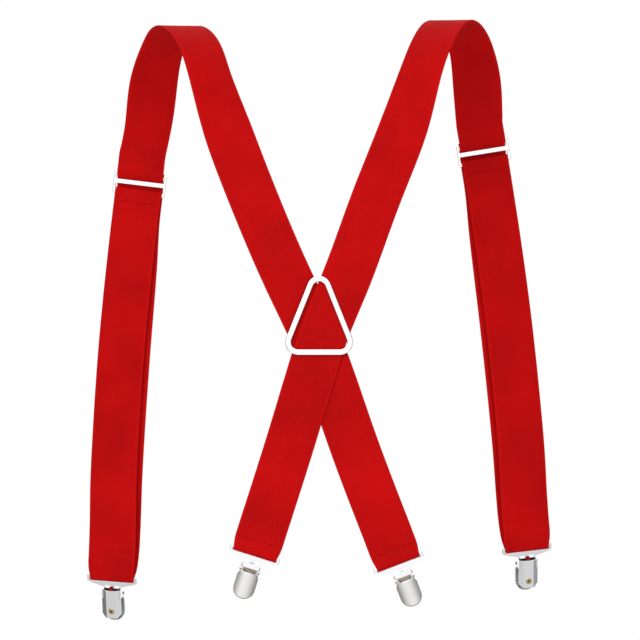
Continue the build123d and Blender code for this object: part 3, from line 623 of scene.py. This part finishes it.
# ---- Nickelled hardware ------------------------------------------------------------------------------
# The keeper, adjusters and clips are stamped or cast steel, polished and bright nickel plated. The plate
# gives a white mirror with a faint haze of polishing marks; thin sheet parts show a softer tumbled finish.
def nickel_plate(name, tone, worn, polish, haze, marks):
    material, tree, place = new_material(name)
    spot = place.outputs["Object"]
    cloud = node(tree, "ShaderNodeTexNoise", {"Vector": spot}, in_Scale=170.0, in_Detail=4.0)
    stretch = node(tree, "ShaderNodeMapping", {"Vector": spot})
    stretch.inputs["Scale"].default_value = (300.0, 300.0, 900.0)
    lines = node(tree, "ShaderNodeTexNoise", {"Vector": stretch.outputs[0]}, in_Scale=1.0, in_Detail=3.0)
    wear = node(tree, "ShaderNodeMath", {0: lines.outputs[0], 2: cloud.outputs[0]},
                operation="MULTIPLY_ADD", in_1=0.6)
    rough = node(tree, "ShaderNodeMapRange", {0: wear.outputs[0]}, in_1=0.5, in_2=1.1,
                 in_3=polish, in_4=haze)
    tint = node(tree, "ShaderNodeMix", {"Factor": cloud.outputs[0]}, data_type="RGBA")
    tint.inputs[6].default_value = colour(tone)
    tint.inputs[7].default_value = colour(worn)
    bump = node(tree, "ShaderNodeBump", {"Height": lines.outputs[0]}, in_Strength=marks, in_Distance=0.00001)
    shader = node(tree, "ShaderNodeBsdfPrincipled", {
        "Base Color": tint.outputs[2], "Roughness": rough.outputs[0], "Normal": bump.outputs[0],
    }, in_Metallic=1.0)
    node(tree, "ShaderNodeOutputMaterial", {"Surface": shader.outputs[0]})
    return material


bright_nickel = nickel_plate("bright_polished_nickel", "#F6F6F5", "#FBFAF8", 0.06, 0.12, 0.03)
tumbled_nickel = nickel_plate("tumbled_nickel_plate", "#E4E5E8", "#F0F0F1", 0.08, 0.16, 0.05)
lever_nickel = nickel_plate("satin_nickel_lever", "#DAD9D7", "#E0DFDD", 0.42, 0.5, 0.0)
# The lever pins are steel. Their dark brownish tone is a painted reflection: the brownish stripe across each
# clip's hinge.
drawn_steel = nickel_plate("drawn_steel_pin", "#7A6A58", "#94866F", 0.22, 0.34, 0.1)


def finish_node(name, material):
    cad[name].data.materials.clear()
    cad[name].data.materials.append(material)


for name in ("keeper_front", "keeper_back", "keeper_posts"):
    finish_node(name, bright_nickel)
for side in ("left", "right"):
    finish_node(f"{side}_adjuster_frame", bright_nickel)
clips = [f"{side}_{end}_clip" for side in ("left", "right") for end in ("front", "back")]
for clip in clips:
    finish_node(f"{clip}_strap_plate", tumbled_nickel)
    finish_node(f"{clip}_rear_jaw", tumbled_nickel)
    finish_node(f"{clip}_lever", lever_nickel)
    finish_node(f"{clip}_lever_pin", drawn_steel)
    finish_node(f"{clip}_pad_rivet", tumbled_nickel)

# ---- Grip pads and eyelets -----------------------------------------------------------------------------
# Each jaw is lined with a ridged pad of soft grey vinyl, so that it doesn't mark the trousers. The rear pad
# is held by a brass eyelet clenched through the jaw, and the front one by a small rivet.
def soft_vinyl(name, tone):
    material, tree, place = new_material(name)
    spot = place.outputs["Object"]
    grain = node(tree, "ShaderNodeTexNoise", {"Vector": spot}, in_Scale=2600.0, in_Detail=2.0)
    cloud = node(tree, "ShaderNodeTexNoise", {"Vector": spot}, in_Scale=120.0, in_Detail=3.0)
    tint = node(tree, "ShaderNodeMix", {"Factor": cloud.outputs[0]}, data_type="RGBA")
    tint.inputs[6].default_value, tint.inputs[7].default_value = colour(tone), colour("#C9C4B6")
    rough = node(tree, "ShaderNodeMapRange", {0: cloud.outputs[0]}, in_3=0.45, in_4=0.62)
    bump = node(tree, "ShaderNodeBump", {"Height": grain.outputs[0]}, in_Strength=0.25, in_Distance=0.00004)
    shader = node(tree, "ShaderNodeBsdfPrincipled", {
        "Base Color": tint.outputs[2], "Roughness": rough.outputs[0], "Normal": bump.outputs[0],
    })
    node(tree, "ShaderNodeOutputMaterial", {"Surface": shader.outputs[0]})
    return material


def brass_plate(name, tone):
    material, tree, place = new_material(name)
    spot = place.outputs["Object"]
    cloud = node(tree, "ShaderNodeTexNoise", {"Vector": spot}, in_Scale=420.0, in_Detail=4.0)
    tint = node(tree, "ShaderNodeMix", {"Factor": cloud.outputs[0]}, data_type="RGBA")
    tint.inputs[6].default_value, tint.inputs[7].default_value = colour(tone), colour("#D9C48E")
    rough = node(tree, "ShaderNodeMapRange", {0: cloud.outputs[0]}, in_3=0.18, in_4=0.36)
    shader = node(tree, "ShaderNodeBsdfPrincipled",
                  {"Base Color": tint.outputs[2], "Roughness": rough.outputs[0]}, in_Metallic=1.0)
    node(tree, "ShaderNodeOutputMaterial", {"Surface": shader.outputs[0]})
    return material


grey_vinyl = soft_vinyl("ridged_grey_vinyl", "#A7A396")
pale_brass = brass_plate("pale_brass_eyelet", "#C7A965")
for clip in clips:
    finish_node(f"{clip}_front_pad", grey_vinyl)
    finish_node(f"{clip}_rear_pad", grey_vinyl)
    finish_node(f"{clip}_eyelet", pale_brass)

# ---- Studio -----------------------------------------------------------------------------------------------
# A pale floor well below the hanging suspenders, an even white surround, and one broad soft light on the
# camera's side, near enough that what hangs behind is a little darker.
floor_mesh = bpy.data.meshes.new("floor")
floor_mesh.from_pydata([(-3, -3, -0.70), (3, -3, -0.70), (3, 3, -0.70), (-3, 3, -0.70)], [], [(0, 1, 2, 3)])
floor = bpy.data.objects.new("floor", floor_mesh)
bpy.context.scene.collection.objects.link(floor)
floor_paint = bpy.data.materials.new("matt_floor_paint")
floor_paint.use_nodes = True
floor_paint.node_tree.nodes["Principled BSDF"].inputs["Base Color"].default_value = colour("#EDEDEB")
floor_paint.node_tree.nodes["Principled BSDF"].inputs["Roughness"].default_value = 0.9
floor_mesh.materials.append(floor_paint)
# Kept out of mirror-bright metal, which then shows the dim underside of the surround along lower edges.
floor.visible_glossy = False

world = bpy.data.worlds.new("white_surround")
world.use_nodes = True
sky = world.node_tree
sky.nodes.clear()
heading = node(sky, "ShaderNodeTexCoord")
# A tall white wall of light in front and behind and a dim band at each side, so that bright metal shows
# its form: what faces the camera is white, and what turns away from it goes dark and then light again.
way = node(sky, "ShaderNodeSeparateXYZ", {0: heading.outputs["Generated"]})
aside = node(sky, "ShaderNodeMath", {0: way.outputs["X"]}, operation="ABSOLUTE")
wall = node(sky, "ShaderNodeMapRange", {0: aside.outputs[0]}, interpolation_type="SMOOTHSTEP",
            in_1=0.5, in_2=0.74, in_3=1.15, in_4=0.04)
strip = node(sky, "ShaderNodeMapRange", {0: aside.outputs[0]}, interpolation_type="SMOOTHSTEP",
             in_1=0.88, in_2=0.98, in_3=0.0, in_4=0.8)
low = node(sky, "ShaderNodeMapRange", {0: way.outputs["Z"]}, interpolation_type="SMOOTHSTEP",
           in_1=-0.95, in_2=-0.45, in_3=0.05, in_4=1.0)
lit = node(sky, "ShaderNodeMath", {0: wall.outputs[0], 1: strip.outputs[0]}, operation="ADD")
shade = node(sky, "ShaderNodeMath", {0: lit.outputs[0], 1: low.outputs[0]}, operation="MULTIPLY")
soft = node(sky, "ShaderNodeBackground", {"Color": shade.outputs[0]})
plain = node(sky, "ShaderNodeBackground", in_Color=(1.0, 1.0, 1.0, 1.0))
seen = node(sky, "ShaderNodeLightPath")
both = node(sky, "ShaderNodeMixShader",
            {0: seen.outputs["Is Camera Ray"], 1: soft.outputs[0], 2: plain.outputs[0]})
node(sky, "ShaderNodeOutputWorld", {"Surface": both.outputs[0]})
bpy.context.scene.world = world
bpy.context.scene.view_settings.view_transform = "Standard"


def soft_light(name, spot, target, size, watts):
    data = bpy.data.lights.new(name, "AREA")
    data.shape, data.size, data.energy = "SQUARE", size, watts
    lamp = bpy.data.objects.new(name, data)
    lamp.location = spot
    lamp.rotation_euler = (Vector(target) - Vector(spot)).to_track_quat("-Z", "Y").to_euler()
    bpy.context.scene.collection.objects.link(lamp)


soft_light("key", (-0.25, -1.15, 0.35), (0, 0, -0.2), 0.9, 5.5)

view_distance, view_width = 8.0, 0.4608
lens = bpy.data.cameras.new("camera")
lens.sensor_width = 36.0
lens.lens = 36.0 * view_distance / view_width
camera = bpy.data.objects.new("camera", lens)
camera.location = (0.00144, -view_distance, -0.2133)
camera.rotation_euler = (math.radians(90), 0, 0)
bpy.context.scene.collection.objects.link(camera)
bpy.context.scene.camera = camera
